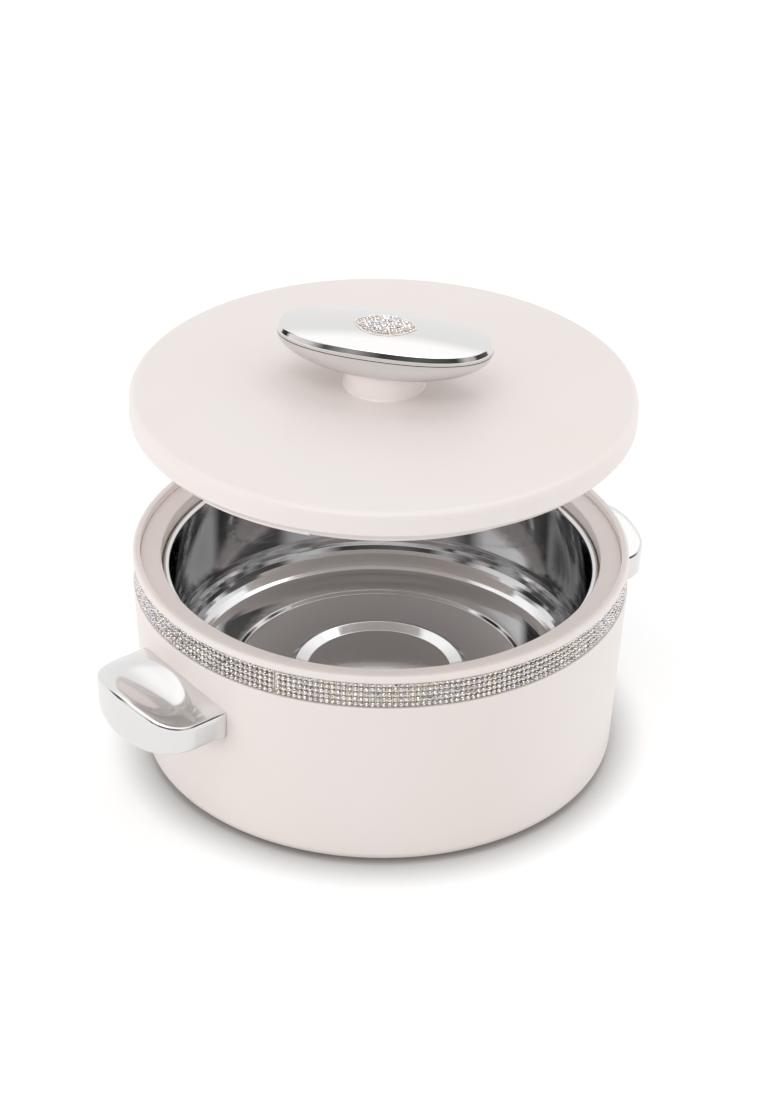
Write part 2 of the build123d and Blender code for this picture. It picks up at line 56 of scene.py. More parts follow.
def span(node):
    """Lowest and highest corner of a CAD node, in millimetres."""
    low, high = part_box(node)
    return low / MM, high / MM


# Camera, fitted to the photograph's ellipses

camera_place = Vector((-0.7854, -1.0423, 0.8863))
camera_heading = 37.2  # degrees from +Y towards +X
camera_dip = 30.88
camera_roll = 1.16
image_height = 1108
focal_pixels = 3000
sensor = 36.0


def make_camera():
    data = bpy.data.cameras.new("camera")
    data.sensor_fit = "VERTICAL"
    data.sensor_height = sensor
    data.lens = sensor * focal_pixels / image_height
    camera = bpy.data.objects.new("camera", data)
    turn = Matrix.Rotation(radians(-camera_heading), 3, "Z")
    turn = turn @ Matrix.Rotation(radians(90 - camera_dip), 3, "X")
    turn = turn @ Matrix.Rotation(radians(camera_roll), 3, "Z")
    camera.matrix_world = Matrix.LocRotScale(camera_place, turn, None)
    scene.collection.objects.link(camera)
    scene.camera = camera


make_camera()


# Materials


def new_material(name, color, roughness, metallic=0.0):
    """A material with its nodes, its links and its shader."""
    made = bpy.data.materials.new(name)
    made.use_nodes = True
    nodes, links = made.node_tree.nodes, made.node_tree.links
    shader = nodes["Principled BSDF"]
    shader.inputs["Base Color"].default_value = (*color, 1)
    shader.inputs["Roughness"].default_value = roughness
    shader.inputs["Metallic"].default_value = metallic
    return made, nodes, links, shader


def add_noise(nodes, links, scale, detail=3.0, vector=None):
    noise = nodes.new("ShaderNodeTexNoise")
    noise.inputs["Scale"].default_value = scale
    noise.inputs["Detail"].default_value = detail
    if vector is None:
        vector = nodes.new("ShaderNodeTexCoord").outputs["Object"]
    links.new(vector, noise.inputs["Vector"])
    return noise.outputs["Fac"]


def add_range(nodes, links, value, low, high, source=(0.3, 0.7)):
    """Spreads a noise value between two numbers."""
    spread = nodes.new("ShaderNodeMapRange")
    links.new(value, spread.inputs["Value"])
    spread.inputs["From Min"].default_value = source[0]
    spread.inputs["From Max"].default_value = source[1]
    spread.inputs["To Min"].default_value = low
    spread.inputs["To Max"].default_value = high
    return spread.outputs["Result"]


def feed(links, value, socket):
    """Links a socket to another, or sets it to a number or a colour."""
    if isinstance(value, bpy.types.NodeSocket):
        links.new(value, socket)
    elif isinstance(value, tuple):
        socket.default_value = (*value, 1)
    else:
        socket.default_value = value


def add_tint(nodes, links, value, first, second):
    """Blends from the first colour to the second, each of them a colour or a socket."""
    mix = nodes.new("ShaderNodeMix")
    mix.data_type = "RGBA"
    links.new(value, mix.inputs["Factor"])
    feed(links, first, mix.inputs["A"])
    feed(links, second, mix.inputs["B"])
    return mix.outputs["Result"]


def add_math(nodes, links, operation, *values):
    """A math node, whose inputs are sockets or numbers."""
    node = nodes.new("ShaderNodeMath")
    node.operation = operation
    for socket, value in zip(node.inputs, values):
        feed(links, value, socket)
    return node.outputs["Value"]


def add_ramp(nodes, links, value, stops):
    """A grey ramp from (position, level) stops."""
    ramp = nodes.new("ShaderNodeValToRGB")
    links.new(value, ramp.inputs["Fac"])
    elements = ramp.color_ramp.elements
    while len(elements) < len(stops):
        elements.new(0.5)
    for element, (position, level) in zip(elements, stops):
        element.position = position
        element.color = (level, level, level, 1)
    return ramp.outputs["Color"]


def add_bump(nodes, links, shader, height, depth):
    """Bump whose height of 1 stands this many millimetres proud."""
    bump = nodes.new("ShaderNodeBump")
    bump.inputs["Distance"].default_value = depth * MM
    links.new(height, bump.inputs["Height"])
    links.new(bump.outputs["Normal"], shader.inputs["Normal"])


def turned_vector(nodes, links, around=0.02):
    """Object coordinates as radius, height and a little of the angle, so that noise runs in rings."""
    place = nodes.new("ShaderNodeTexCoord").outputs["Object"]
    split = nodes.new("ShaderNodeSeparateXYZ")
    links.new(place, split.inputs["Vector"])
    flat = nodes.new("ShaderNodeVectorMath")
    flat.operation = "MULTIPLY"
    links.new(place, flat.inputs[0])
    flat.inputs[1].default_value = (1, 1, 0)
    length = nodes.new("ShaderNodeVectorMath")
    length.operation = "LENGTH"
    links.new(flat.outputs["Vector"], length.inputs[0])
    angle = add_math(nodes, links, "ARCTAN2", split.outputs["Y"], split.outputs["X"])
    join = nodes.new("ShaderNodeCombineXYZ")
    links.new(length.outputs["Value"], join.inputs["X"])
    links.new(split.outputs["Z"], join.inputs["Y"])
    links.new(add_math(nodes, links, "MULTIPLY", angle, around), join.inputs["Z"])
    return join.outputs["Vector"]


ivory_color = (0.885, 0.815, 0.785)


def make_ivory():
    """Satin ivory moulding, with the faint grain and warm and cool drift of moulded plastic."""
    made, nodes, links, shader = new_material("ivory_moulding", ivory_color, 0.36)
    drift = add_noise(nodes, links, 9, 2)
    warm = tuple(c * f for c, f in zip(ivory_color, (1.005, 0.985, 0.97)))
    cool = tuple(c * f for c, f in zip(ivory_color, (0.995, 1.01, 1.02)))
    tint = add_tint(nodes, links, add_range(nodes, links, drift, 0, 1), warm, cool)
    links.new(tint, shader.inputs["Base Color"])
    grain = add_noise(nodes, links, 900, 4)
    links.new(add_range(nodes, links, grain, 0.33, 0.41), shader.inputs["Roughness"])
    add_bump(nodes, links, shader, grain, 0.012)
    shader.inputs["Coat Weight"].default_value = 0.12
    shader.inputs["Coat Roughness"].default_value = 0.18
    return made


def make_polished_steel():
    """Mirror-polished steel sheet with fine rings left by spinning and polishing."""
    made, nodes, links, shader = new_material("polished_steel", (0.70, 0.70, 0.705), 0.07, 1)
    rings = add_noise(nodes, links, 700, 5, turned_vector(nodes, links))
    links.new(add_range(nodes, links, rings, 0.03, 0.11), shader.inputs["Roughness"])
    add_bump(nodes, links, shader, rings, 0.008)
    return made


def make_chrome(name, blur):
    """Bright plating, with the slight waviness of plated plastic and a little blur from wear."""
    made, nodes, links, shader = new_material(name, (0.76, 0.752, 0.748), blur, 1)
    wave = add_noise(nodes, links, 60, 2)
    worn = add_noise(nodes, links, 500, 4)
    links.new(add_range(nodes, links, worn, blur * 0.7, blur * 1.4), shader.inputs["Roughness"])
    add_bump(nodes, links, shader, wave, 0.02)
    return made


def make_stone():
    """Foil-backed clear stone with a lavender or warm cast, whose facets each get a painted glint: a random
    brightness stands in for the light a cut stone throws back.
    """
    made, nodes, links, shader = new_material("clear_stone", (0.8, 0.8, 0.8), 0.05, 1)
    cast = add_noise(nodes, links, 160, 2)
    drift = add_range(nodes, links, cast, 0, 1, (0.4, 0.6))
    tint = add_tint(nodes, links, drift, (0.93, 0.90, 0.95), (1.0, 0.94, 0.87))
    # Painted glints: each facet's colour is scaled by a random level picked by its normal, standing in for
    # its reflections.
    painted_facet_glint = nodes.new("ShaderNodeTexWhiteNoise")
    links.new(nodes.new("ShaderNodeNewGeometry").outputs["True Normal"], painted_facet_glint.inputs["Vector"])
    share = add_range(nodes, links, painted_facet_glint.outputs["Value"], 0.36, 1, (0, 0.6))
    links.new(add_tint(nodes, links, share, (0, 0, 0), tint), shader.inputs["Base Color"])
    shader.inputs["Coat Weight"].default_value = 1
    shader.inputs["Coat Roughness"].default_value = 0.02
    return made


def make_strip_metal():
    """Champagne-plated cups and backing, in random patches, the paler of them duller."""
    made, nodes, links, shader = new_material("champagne_cups", (0.74, 0.67, 0.60), 0.35, 1)
    patch = add_noise(nodes, links, 220, 3)
    drift = add_range(nodes, links, patch, 0, 1)
    tint = add_tint(nodes, links, drift, (0.74, 0.67, 0.60), (0.90, 0.84, 0.77))
    links.new(tint, shader.inputs["Base Color"])
    links.new(add_range(nodes, links, patch, 0.28, 0.5), shader.inputs["Roughness"])
    return made


def make_plain(name, color, roughness, metallic, grain_scale, grain_depth):
    """A simple grained material for the pieces inside and underneath."""
    made, nodes, links, shader = new_material(name, color, roughness, metallic)
    grain = add_noise(nodes, links, grain_scale, 4)
    dark = tuple(c * 0.9 for c in color)
    tint = add_tint(nodes, links, add_range(nodes, links, grain, 0, 1), dark, color)
    links.new(tint, shader.inputs["Base Color"])
    links.new(add_range(nodes, links, grain, roughness * 0.85, roughness * 1.15), shader.inputs["Roughness"])
    add_bump(nodes, links, shader, grain, grain_depth)
    return made


ivory = make_ivory()
steel = make_polished_steel()
chrome = make_chrome("bright_chrome", 0.055)
soft_chrome = make_chrome("soft_chrome", 0.13)
stone = make_stone()
strip_metal = make_strip_metal()
foam = make_plain("rigid_foam", (0.82, 0.72, 0.45), 0.9, 0, 500, 0.3)
base_plastic = make_plain("matt_moulding", (0.86, 0.80, 0.76), 0.6, 0, 700, 0.05)
fastener_steel = make_plain("plated_fastener", (0.62, 0.62, 0.62), 0.35, 1, 600, 0.02)
rubber = make_plain("soft_rubber", (0.62, 0.60, 0.57), 0.8, 0, 800, 0.05)


# Mesh building

support = 0.3  # of the loops that keep shading flat beside a fillet
arc_step = 7.5  # degrees between points on a fillet
turn_steps = 288


def rounded(corners, closed=True):
    """Points of an outline, with an arc at each corner that has a fillet radius."""
    points = []
    for i, corner in enumerate(corners):
        here = Vector(corner[:2])
        end = not closed and i in (0, len(corners) - 1)
        radius = corner[2] if len(corner) > 2 and not end else 0
        if not radius:
            points.append(here)
            continue
        before = (Vector(corners[i - 1][:2]) - here).normalized()
        after = (Vector(corners[(i + 1) % len(corners)][:2]) - here).normalized()
        half = before.angle(after) / 2
        centre = here + (before + after).normalized() * radius / sin(half)
        start = here + before * radius / tan(half) - centre
        turn = (pi - 2 * half) * (-1 if before.cross(after) > 0 else 1)
        steps = max(2, round(degrees(abs(turn)) / arc_step))
        for k in range(steps + 1):
            points.append(centre + Matrix.Rotation(turn * k / steps, 2) @ start)
    return supported(points, closed)


def supported(points, closed):
    """Adds a point beside each end of the long runs."""
    result = []
    last = len(points) if closed else len(points) - 1
    for i in range(last):
        here, following = points[i], points[(i + 1) % len(points)]
        run = following - here
        result.append(here)
        if run.length > 4 * support:
            result += [here + run.normalized() * support, following - run.normalized() * support]
    if not closed:
        result.append(points[-1])
    return result


def add_piece(name, points, faces, made, body, nodes, smooth=30.0):
    """A mesh from points in millimetres, riding on a body and standing for CAD nodes."""
    mesh = bpy.data.meshes.new(name)
    mesh.from_pydata([tuple(c * MM for c in p) for p in points], [], faces)
    mesh.validate()
    mesh.materials.append(made)
    if smooth:
        mesh.shade_smooth()
        mesh.set_sharp_from_angle(angle=radians(smooth))
    piece = bpy.data.objects.new(name, mesh)
    scene.collection.objects.link(piece)
    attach(piece, body)
    if nodes:
        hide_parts(*nodes)
    return piece


def turned(corners, lift=0.0, closed=True, start=0.0, arc=360.0, steps=turn_steps):
    """Points and faces of a piece turned about Z. An open outline starts or ends on the axis."""
    outline = rounded(corners, closed)
    whole = arc >= 360.0
    stations = steps if whole else steps + 1
    points, rows = [], []
    for i in range(stations):
        angle = radians(start + arc * i / steps)
        row = []
        for j, (radius, height) in enumerate(outline):
            if radius < 1e-6 and i:
                row.append(rows[0][j])
                continue
            row.append(len(points))
            points.append((radius * cos(angle), radius * sin(angle), height + lift))
        rows.append(row)
    faces = []
    count = len(outline)
    for i in range(steps):
        here, following = rows[i], rows[(i + 1) % stations]
        for j in range(count if closed else count - 1):
            k = (j + 1) % count
            face = [here[j], following[j], following[k], here[k]]
            unique = list(dict.fromkeys(face))
            if len(unique) > 2:
                faces.append(unique)
    if not whole:
        faces += [rows[0], rows[-1][::-1]]
    return points, faces


# Levels from the frame

shell_low, shell_high = span("outer_shell")
collar_low, collar_high = span("rim_collar")
bowl_top = span("inner_bowl")[1].z
strip_low, strip_high = span("stone_strip")
cover_low, cover_high = span("lid_cover")
handle_bottom = span("handle_right")[0].z
pot_radius = shell_high.x
pot_height = shell_high.z
floor_bottom = shell_low.z
ledge = collar_high.z
lid_seat = cover_low.z  # the skirt's lower edge, from which the lid is drawn
lid_radius = cover_high.x

# Pot

base_radius = pot_radius - 4.6
base_round = 6.5
shell_wall = 2.2
lip_width = 3.8
lip_round = 2.0
edge_round = 0.4
band_height = 14.0
band_top = pot_height - 3.5
band_bottom = band_top - band_height
groove_radius = pot_radius - 3.0
lip_inner = pot_radius - lip_width
ledge_width = 10.6
neck_radius = lip_inner - ledge_width
neck_wall = 2.2
collar_thickness = 2.0
neck_round = 0.9
cover_radius = 100.0
cover_recess = 2.0
seat_gap = 0.2
skin_gap = 0.03
floor_edge = 6.0  # how far the shell's floor is drawn over the base cover
floor_sheet = 1.2
floor_lift = 0.6  # of the inner floor, which keeps it clear of the base's round


def make_pot_shell():
    points, faces = turned([
        (cover_radius + seat_gap, floor_bottom + cover_recess),
        (cover_radius + seat_gap, floor_bottom, edge_round),
        (base_radius, floor_bottom, base_round),
        (pot_radius, band_bottom, edge_round),
        (groove_radius, band_bottom, edge_round / 2),
        (groove_radius, band_top, edge_round / 2),
        (pot_radius, band_top, edge_round),
        (pot_radius, pot_height, lip_round),
        (lip_inner, pot_height, edge_round),
        (lip_inner, ledge - collar_thickness),
        (groove_radius - shell_wall, ledge - collar_thickness),
        (groove_radius - shell_wall, band_bottom - shell_wall),
        (base_radius - shell_wall, floor_bottom + shell_wall + floor_lift, base_round - shell_wall),
        (cover_radius - floor_edge, floor_bottom + cover_recess + floor_sheet),
        (cover_radius - floor_edge, floor_bottom + cover_recess),
    ])
    add_piece("pot_shell", points, faces, ivory, "pot", ["outer_shell"])


def make_pot_collar():
    radius = lip_inner - seat_gap / 2
    points, faces = turned([
        (neck_radius, collar_low.z, edge_round),
        (neck_radius + neck_wall, collar_low.z),
        (neck_radius + neck_wall, ledge - collar_thickness),
        (radius, ledge - collar_thickness),
        (radius, ledge, edge_round / 2),
        (neck_radius, ledge, neck_round),
    ])
    add_piece("pot_collar", points, faces, ivory, "pot", ["rim_collar"])


# Steel bowl

sheet = 0.8
bead_radius = 1.7
bead_gap = 0.7
bead_slack = 0.05  # between the two rounds that meet on the rolled rim
bead_outer = neck_radius - bead_gap
bowl_radius = bead_outer - 2 * bead_radius + sheet
bowl_depth = 66.8
bowl_floor = bowl_top - bowl_depth
bowl_draft = 0.8
bowl_corner = 18.0
floor_step = 1.6
step_radius = bowl_radius - 31.7
centre_radius = 37.5
ring_inner_slope = 6.3
ring_outer_slope = 3.2
ring_rise = 1.9
press_round = 0.8


def make_steel_bowl():
    floor = bowl_floor
    step = floor + floor_step
    inner = bowl_radius - sheet
    crest = centre_radius + ring_inner_slope
    shown = [
        (0, floor),
        (centre_radius, floor, press_round),
        (crest, floor + ring_rise, press_round),
        (crest + ring_outer_slope, floor, press_round),
        (step_radius - floor_step, floor, press_round),
        (step_radius, step, press_round),
        (inner - bowl_draft, step, bowl_corner),
        (inner, bowl_top, bead_radius),
        (bead_outer, bowl_top, bead_radius - bead_slack),
        (bead_outer, bowl_top - 2 * bead_radius),
        (bead_outer - sheet, bowl_top - 2 * bead_radius),
        (bead_outer - sheet, bowl_top - sheet, bead_radius - sheet),
        (inner + sheet, bowl_top - sheet, bead_radius - sheet),
        (inner + sheet - bowl_draft, step - sheet, bowl_corner + sheet),
        (step_radius + sheet, step - sheet),
        (step_radius - floor_step, floor - sheet),
        (0, floor - sheet),
    ]
    points, faces = turned(shown, closed=False, steps=384)
    add_piece("steel_bowl", points, faces, steel, "pot", ["inner_bowl"], smooth=40.0)


# Stone band

band_rows = 5
stones_in_row = 286
strip_outer = strip_high.x
join_angle = -150.6
join_gap = 0.8
row_pitch = band_height / band_rows
stone_radius = 1.2
cup_height = 0.75
crown_height = 0.8
band_tilt = 8.0  # spread of the stones' tilts, degrees


def stone_faces(start):
    """Faces of one cut stone: table, star, main and girdle facets, then its flat back."""
    table, star, girdle = start, start + 8, start + 16
    faces = [[table + i for i in range(8)]]
    for i in range(8):
        after, before = (i + 1) % 8, (i - 1) % 8
        edge = [girdle + (2 * i + k) % 16 for k in (-1, 0, 1, 2)]
        faces.append([table + i, star + i, table + after])
        faces.append([table + i, star + before, edge[1], star + i])
        faces.append([star + i, edge[1], edge[2]])
        faces.append([star + i, edge[2], edge[3]])
    faces.append([girdle + i for i in range(15, -1, -1)])
    return faces


def stone_points(radius, height, spin):
    """Points of a cut stone about its own axis, with its girdle at height 0."""
    rings = [(8, 0.44, 1.0, 0.0), (8, 0.72, 0.66, 0.5), (16, 1.0, 0.0, 0.0)]
    points = []
    for count, share, level, offset in rings:
        for i in range(count):
            angle = 2 * pi * (i + offset) / count + spin
            points.append(Vector((radius * share * cos(angle), radius * share * sin(angle), height * level)))
    return points


def cup_mesh(radius, height, start):
    """A round cup, flared to the stone that it holds, as points about its own axis and faces."""
    sides = 8
    profile = [(0.80, 0.0), (1.10, height), (0.98, height + 0.12), (0.90, height - 0.1)]
    points = []
    for share, level in profile:
        for i in range(sides):
            angle = 2 * pi * (i + 0.5) / sides
            points.append(Vector((radius * share * cos(angle), radius * share * sin(angle), level)))
    faces = []
    for row in range(len(profile) - 1):
        for i in range(sides):
            k = (i + 1) % sides
            base = start + row * sides
            faces.append([base + i, base + k, base + sides + k, base + sides + i])
    return points, faces


def set_stones(seats, tilt):
    """Stones and their cups at seats, each a (place, outward, up, radius). Returns both meshes."""
    stones, cuts, cups, walls = [], [], [], []
    for place, outward, up, radius in seats:
        across = up.cross(outward).normalized()
        turn = Matrix((across, outward.cross(across), outward)).transposed()
        nod = Matrix.Rotation(radians(chance.gauss(0, tilt)), 3, "X")
        nod = nod @ Matrix.Rotation(radians(chance.gauss(0, tilt)), 3, "Y")
        cuts += stone_faces(len(stones))
        for point in stone_points(radius, crown_height, chance.uniform(0, pi / 4)):
            stones.append(place + turn @ (nod @ point + Vector((0, 0, cup_height))))
        cup_points, cup_faces = cup_mesh(radius, cup_height, len(cups))
        cups += [place + turn @ point for point in cup_points]
        walls += cup_faces
    return (stones, cuts), (cups, walls)


def make_band():
    gap = degrees(join_gap / pot_radius)
    low, high = strip_low.z, strip_high.z
    inner = groove_radius + skin_gap
    strip = [(inner, low), (strip_outer, low), (strip_outer, high), (inner, high)]
    points, faces = turned(strip, start=join_angle + gap / 2, arc=360 - gap, steps=turn_steps)
    seats = []
    first = join_angle + gap
    pitch = (360 - 2 * gap) / stones_in_row
    for row in range(band_rows):
        height = band_bottom + row_pitch * (row + 0.5)
        for i in range(stones_in_row):
            angle = radians(first + pitch * (i + 0.5))
            outward = Vector((cos(angle), sin(angle), 0))
            place = outward * strip_outer + Vector((0, 0, height))
            seats.append((place, outward, Vector((0, 0, 1)), stone_radius))
    (stones, cuts), (cups, walls) = set_stones(seats, band_tilt)
    start = len(points)
    points += [tuple(p) for p in cups]
    faces += [[start + i for i in wall] for wall in walls]
    add_piece("band_cups", points, faces, strip_metal, "pot", ["stone_strip"], smooth=50.0)
    add_piece("band_set_stones", stones, cuts, stone, "pot", ["band_stones"], smooth=0)


# Handles

# The right handle is drawn, and turned round for the left one
handle_width = 71.0
handle_reach = 34.7  # from the wall to the middle of the rim
handle_height = 24.7
handle_top = handle_bottom + handle_height
handle_crown = 87.0  # radius across the handle
handle_belly = 165.0  # radius of the underside across the handle
handle_corner = 18.2
handle_bow = 9.2  # of the rim in plan
handle_flare = tan(radians(1.5))
handle_rise = sin(radians(3.0))
handle_round = 2.0
rim_round = 2.0
dish_radius = 27.0
dish_depth = 3.6
dish_offset = 1.5
dish_soft = 1.6  # how softly the dish runs out into the crown
sink = 0.8  # of the handle's back into the wall
handle_columns, handle_rows = 72, 28  # of faces across the handle and out from the wall
rim_steps, side_steps, foot_steps = 6, 6, 8
wall_slope = (pot_radius - base_radius) / (band_bottom - floor_bottom)


def wall_radius(height):
    return base_radius + wall_slope * (height - floor_bottom)


handle_tip = wall_radius(handle_bottom) + handle_reach


def handle_outline(across, grow):
    """How far out the handle's plan, grown all round, reaches at a distance from its middle."""
    half = handle_width / 2
    bow_radius = (half**2 + handle_bow**2) / (2 * handle_bow)
    middle = handle_tip - bow_radius
    edge = half - handle_corner
    sweep = edge / (bow_radius - handle_corner)
    if abs(across) <= (bow_radius + grow) * sweep:
        return middle + sqrt((bow_radius + grow) ** 2 - across**2)
    corner_middle = middle + (bow_radius - handle_corner) * sqrt(1 - sweep**2)
    return corner_middle + sqrt(max(0.0, (handle_corner + grow) ** 2 - (abs(across) - edge) ** 2))


def handle_underside(_, across):
    """Height of the handle's bellied underside."""
    return handle_bottom + handle_belly - sqrt(handle_belly**2 - across**2)


def handle_surface(out, across):
    """Height of the handle's crowned and dished top."""
    crown = handle_top + (handle_tip - out) * handle_rise - handle_crown + sqrt(handle_crown**2 - across**2)
    middle = handle_tip - handle_reach / 2 + dish_offset
    floor = handle_top + (handle_tip - middle) * handle_rise - dish_depth
    dish = floor + dish_radius - sqrt(max(1.0, dish_radius**2 - (out - middle) ** 2))
    share = min(1.0, max(0.0, 0.5 + 0.5 * (dish - crown) / dish_soft))
    return dish + (crown - dish) * share - dish_soft * share * (1 - share)


def handle_mesh():
    """Points and faces of the right handle: top, rounded rim, flared side, rounded foot and underside."""
    columns, rows = handle_columns, handle_rows
    half = handle_width / 2
    spread = [half * sin(pi / 2 * (2 * i / columns - 1)) for i in range(columns + 1)]
    points, faces = [], []

    def grid(height_of, grow):
        """A patch from the wall out to the outline, grown by the flare, as rows of point numbers."""
        numbers = []
        for across in spread:
            column = []
            y = across * (half + grow) / half
            reach = handle_outline(y, grow)
            back = sqrt((wall_radius(handle_top) - sink) ** 2 - y**2)
            for k in range(rows + 1):
                x = back + (reach - back) * k / rows
                column.append(len(points))
                points.append((x, y, height_of(x, y)))
            numbers.append(column)
        return numbers

    flare_at_top = (handle_height - rim_round) * handle_flare
    top = grid(handle_surface, flare_at_top - rim_round)
    under = grid(handle_underside, -handle_round)
    for upper, patch in ((True, top), (False, under)):
        for i in range(columns):
            for k in range(rows):
                face = [patch[i][k], patch[i][k + 1], patch[i + 1][k + 1], patch[i + 1][k]]
                faces.append(face if upper else face[::-1])

    def border(patch):
        return patch[0] + [patch[i][rows] for i in range(1, columns)] + patch[columns][::-1]

    rim, foot = border(top), border(under)
    outward = []
    for n in range(len(rim)):
        along = Vector(points[rim[min(len(rim) - 1, n + 1)]]) - Vector(points[rim[max(0, n - 1)]])
        outward.append(Vector((along.y, -along.x, 0)).normalized())
    chains = []
    for n, number in enumerate(rim):
        start, end, normal = Vector(points[number]), Vector(points[foot[n]]), outward[n]
        chain = [number]
        for k in range(1, rim_steps + 1):
            angle = pi / 2 * k / rim_steps
            place = start + normal * rim_round * sin(angle) - Vector((0, 0, rim_round * (1 - cos(angle))))
            chain.append(len(points))
            points.append(tuple(place))
        low = end + normal * handle_round + Vector((0, 0, handle_round))
        high = Vector(points[chain[-1]])
        for k in range(1, side_steps + 1):
            chain.append(len(points))
            points.append(tuple(high.lerp(low, k / side_steps)))
        for k in range(1, foot_steps):
            angle = pi / 2 * k / foot_steps
            rise = Vector((0, 0, handle_round * (1 - sin(angle))))
            chain.append(len(points))
            points.append(tuple(end + normal * handle_round * cos(angle) + rise))
        chain.append(foot[n])
        chains.append(chain)
    for a, b in zip(chains, chains[1:]):
        for k in range(len(a) - 1):
            faces.append([a[k], a[k + 1], b[k + 1], b[k]])
    for i in range(columns):
        faces.append([top[i][0], top[i + 1][0], under[i + 1][0], under[i][0]])
    faces.append(chains[0])
    faces.append(chains[-1][::-1])
    return points, faces


def make_handles():
    points, faces = handle_mesh()
    for side, name in ((1, "right"), (-1, "left")):
        placed = [(x * side, y * side, z) for x, y, z in points]
        node = f"handle_{name}"
        add_piece(f"{name}_grip", placed, faces, soft_chrome, "pot", [node], smooth=50.0)


# Lid

lid_height = 14.0
lid_dome = 2.5
lid_round = 3.6
skirt_taper = 2.3
skirt_taper_height = 2.8
skirt_lip = 2.1
lid_wall = 2.2
liner_wall = 2.0
plug_gap = 0.6
plug_radius = neck_radius - plug_gap
plug_depth = 9.4
plug_round = 2.4
lid_pour_radius = 7.0
skirt_corner = 1.2  # round of the skirt's outer corner
skirt_edge = 0.5  # round of its lower edge
locator_gap = 1.2
locator_round = 0.4
locator_root = 0.5  # how far each locating segment starts inside the liner
locator_outer = lip_inner - locator_gap
locator_width = 2.4
locator_height = 3.0
locator_arc = 28.0
locator_count = 3
locator_angle = -157.0
lid_top = lid_height + lid_dome
dome_radius = (lid_radius**2 + lid_dome**2) / (2 * lid_dome)


def dome_height(radius):
    return lid_top - dome_radius + sqrt(dome_radius**2 - radius**2)


def make_lid_cover():
    dome = [(radius, dome_height(radius)) for radius in range(0, 120, 6)]
    inner_side = lid_radius - lid_wall
    inside = [(radius, dome_height(radius) - lid_wall) for radius in (inner_side, 90, 60, 30, 0)]
    outline = dome + [
        (lid_radius, dome_height(lid_radius), lid_round),
        (lid_radius, skirt_taper_height, skirt_corner),
        (lid_radius - skirt_taper, 0, skirt_edge),
        (lid_radius - skirt_taper - skirt_lip, 0),
        (lid_radius - skirt_taper - skirt_lip, liner_wall),
        (inner_side, liner_wall + lid_wall),
    ] + inside
    points, faces = turned(outline, lift=lid_seat, closed=False)
    add_piece("lid_shell", points, faces, ivory, "lid", ["lid_cover"])


def make_lid_liner():
    radius = lid_radius - skirt_taper - skirt_lip - seat_gap / 2
    plug_inner = plug_radius - liner_wall
    points, faces = turned([
        (lid_pour_radius, -plug_depth),
        (plug_radius, -plug_depth, plug_round),
        (plug_radius, 0, edge_round),
        (radius, 0, edge_round / 2),
        (radius, liner_wall),
        (plug_inner, liner_wall),
        (plug_inner, liner_wall - plug_depth),
        (lid_pour_radius, liner_wall - plug_depth),
    ], lift=lid_seat)
    for i in range(locator_count):
        start = locator_angle - locator_arc / 2 + 360 / locator_count * i
        segment, sides = turned([
            (locator_outer - locator_width, locator_root),
            (locator_outer - locator_width, -locator_height, locator_round),
            (locator_outer, -locator_height, locator_round),
            (locator_outer, locator_root),
        ], lift=lid_seat, start=start, arc=locator_arc, steps=24)
        first = len(points)
        points += segment
        faces += [[first + n for n in side] for side in sides]
    add_piece("lid_underside", points, faces, ivory, "lid", ["lid_liner"])


# Knob, drawn with its length along X and then turned on the lid

knob_angle = -52.0
knob_length = 108.0
knob_width = 49.0
knob_power = 2.3
knob_rim = 40.2
knob_depth = 11.7
knob_edge = 4.3
knob_crown = 3.8
knob_foot = knob_rim - knob_depth
knob_peak = knob_rim + knob_edge + knob_crown
knob_foot_stretch = 1.35
knob_seam = 0.12
pedestal_radius = 19.5
pedestal_flare = 1.2  # of the pedestal's foot on the lid
pedestal_round = 1.2
knob_steps = 256
hull_levels = 26
crown_rows = 30
# Edge of the knob's cover: (inset, height above the seam), then (inset, depth under the crown)
knob_edge_low = [(1.2, 0.0), (0.35, 0.0), (0.08, 0.12), (0.0, 0.4)]
knob_edge_high = [(0.0, 2.3), (0.06, 2.0), (0.17, 1.75), (1.02, 0.3), (1.14, 0.12), (1.35, 0.0)]
leaf_length = 32.0
leaf_width = 22.0
leaf_bezel = 0.7
leaf_proud = 0.4  # of the tray above the crown
leaf_bed = -0.5  # of the stones' cups, from the crown
leaf_point = 1.1  # length of each solid point of the tray
leaf_pitch = 2.05
leaf_scatter = 0.16
leaf_stone_radii = (0.82, 1.02)
leaf_tilt = 17.0  # spread of the stones' tilts, degrees


def on_knob(points):
    """Turns points of the knob to its angle, and lifts them onto the lid."""
    turn = Matrix.Rotation(radians(knob_angle), 3, "Z")
    return [tuple(turn @ Vector(p) + Vector((0, 0, lid_seat))) for p in points]


def oval_point(i, length, width):
    angle = 2 * pi * i / knob_steps
    along, across = cos(angle), sin(angle)
    x = length / 2 * abs(along) ** (2 / knob_power)
    y = width / 2 * abs(across) ** (2 / knob_power)
    return (x if along > 0 else -x), (y if across > 0 else -y)


def crown_height_at(x, y):
    along = ((knob_length / 2) ** 2 + knob_crown**2) / (2 * knob_crown)
    across = ((knob_width / 2) ** 2 + knob_crown**2) / (2 * knob_crown)
    return knob_peak - (along - sqrt(along**2 - x**2)) - (across - sqrt(across**2 - y**2))


def stacked(rings, cap_low=True, cap_high=True):
    """Points and faces from rings of equal length, each joined to the next."""
    points, faces = [], []
    count = len(rings[0])
    for ring in rings:
        points += ring
    for row in range(len(rings) - 1):
        for i in range(count):
            k = (i + 1) % count
            base = row * count
            faces.append([base + i, base + k, base + count + k, base + count + i])
    if cap_low:
        faces.append(list(range(count - 1, -1, -1)))
    if cap_high:
        faces.append(list(range(len(points) - count, len(points))))
    return points, faces


